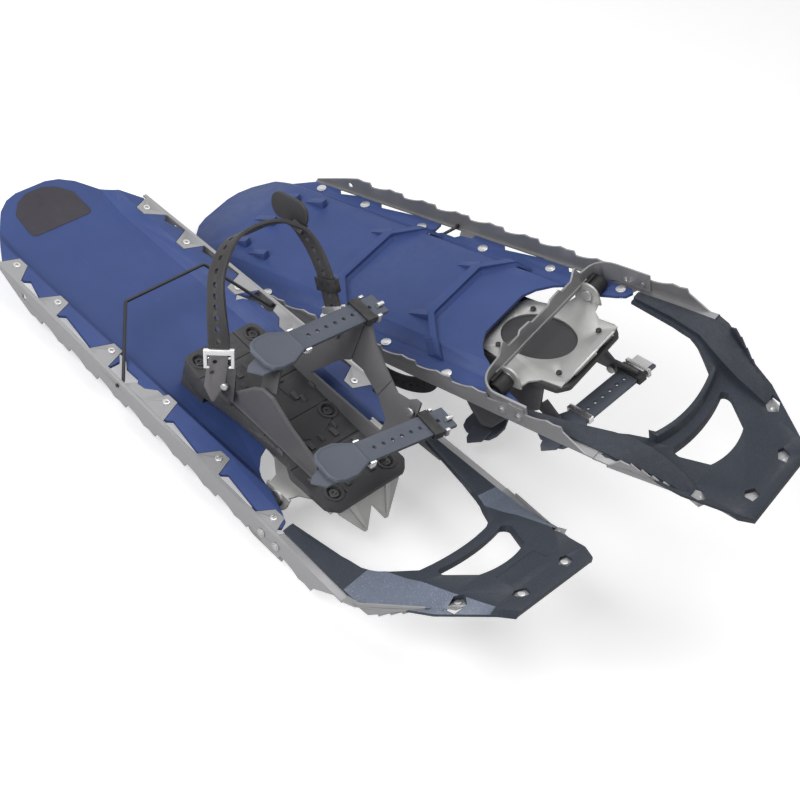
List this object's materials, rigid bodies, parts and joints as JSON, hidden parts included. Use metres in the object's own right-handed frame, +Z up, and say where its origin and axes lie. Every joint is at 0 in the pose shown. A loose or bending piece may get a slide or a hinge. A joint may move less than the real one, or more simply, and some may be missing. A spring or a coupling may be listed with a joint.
{
  "type": "pair of snowshoes",
  "caption": "Moulded-deck snowshoes with serrated rails, hinged crampon bindings, rubber straps and a wire heel lifter; one lies upside down and the other leans on it.",
  "frame": {"origin": "centre of the bounding box at floor level, with the right shoe lying upside down and the left shoe leaning on it", "axes": "+X from tail to toe along the left shoe, +Y from the left shoe towards the right shoe, +Z up"},
  "size_m": [0.688, 0.4172, 0.2235],
  "materials": {
    "deck_plastic": "satin moulded plastic",
    "toe_plastic": "fine grain",
    "rail_steel": "bead blasted",
    "crampon_steel": "satin",
    "rivet_steel": "satin",
    "black_plastic": "satin",
    "binding_plastic": "satin",
    "black_steel": "semi-gloss black",
    "strap_rubber": "smooth",
    "heel_rubber": "smooth",
    "buckle_steel": "polished"
  },
  "bodies": {
    "right_shoe": {"right_outboard_rail": "rail_steel", "right_inboard_rail": "rail_steel", "right_outboard_nose_strip": "rail_steel", "right_inboard_nose_strip": "rail_steel", "right_deck": "deck_plastic", "right_toe": "toe_plastic", "right_deck_rivets": "rivet_steel", "right_toe_rivets": "rivet_steel", "right_crossbar": "rail_steel", "right_crossbar_rivets": "rivet_steel", "right_pivot_pins": "rivet_steel", "right_pivot_washers": "rivet_steel", "right_pivot_bushes": "black_plastic"},
    "right_binding": {"right_binding_bolts": "black_steel", "right_crampon": "crampon_steel", "right_footbed": "binding_plastic", "right_front_strap": "strap_rubber", "right_heel_buckle": "buckle_steel", "right_heel_keeper": "black_plastic", "right_heel_paddle": "heel_rubber", "right_heel_strap": "heel_rubber", "right_inboard_wing": "binding_plastic", "right_outboard_wing": "binding_plastic", "right_rear_strap": "strap_rubber", "right_strap_hooks": "buckle_steel", "right_strap_keepers": "black_plastic", "right_wing_pins": "rivet_steel"},
    "right_lifter": {"right_heel_lifter": "black_steel"},
    "left_shoe": {"left_outboard_rail": "rail_steel", "left_inboard_rail": "rail_steel", "left_outboard_nose_strip": "rail_steel", "left_inboard_nose_strip": "rail_steel", "left_deck": "deck_plastic", "left_toe": "toe_plastic", "left_deck_rivets": "rivet_steel", "left_toe_rivets": "rivet_steel", "left_crossbar": "rail_steel", "left_crossbar_rivets": "rivet_steel", "left_pivot_pins": "rivet_steel", "left_pivot_washers": "rivet_steel", "left_pivot_bushes": "black_plastic"},
    "left_binding": {"left_binding_bolts": "black_steel", "left_crampon": "crampon_steel", "left_footbed": "binding_plastic", "left_front_strap": "strap_rubber", "left_heel_buckle": "buckle_steel", "left_heel_keeper": "black_plastic", "left_heel_paddle": "heel_rubber", "left_heel_strap": "heel_rubber", "left_inboard_wing": "binding_plastic", "left_outboard_wing": "binding_plastic", "left_rear_strap": "strap_rubber", "left_strap_hooks": "buckle_steel", "left_strap_keepers": "black_plastic", "left_wing_pins": "rivet_steel"},
    "left_lifter": {"left_heel_lifter": "black_steel"}
  },
  "joints": [
    {"name": "right_heel_lift", "type": "hinge", "parent": "right_shoe", "child": "right_binding", "pos_m": [0.09827, 0.09336, 0.15021], "axis": [0.1311, -0.9152, -0.3811], "range_deg": [0, 62]},
    {"name": "right_lifter_swing", "type": "hinge", "parent": "right_shoe", "child": "right_lifter", "pos_m": [-0.06035, 0.0931, 0.09628], "axis": [0.1311, -0.9152, -0.3811], "range_deg": [-15, 55]},
    {"name": "left_heel_lift", "type": "hinge", "parent": "left_shoe", "child": "left_binding", "pos_m": [0.06001, -0.10804, 0.04327], "axis": [0, 0.9813, 0.1925], "range_deg": [0, 62]},
    {"name": "left_lifter_swing", "type": "hinge", "parent": "left_shoe", "child": "left_lifter", "pos_m": [-0.10749, -0.10871, 0.0467], "axis": [0, 0.9813, 0.1925], "range_deg": [-15, 55]},
    {"name": "left_shoe_lift_off", "type": "slide", "parent": "right_shoe", "child": "left_shoe", "axis": [0, 0, 1], "range_m": [0, 0.3]}
  ]
}
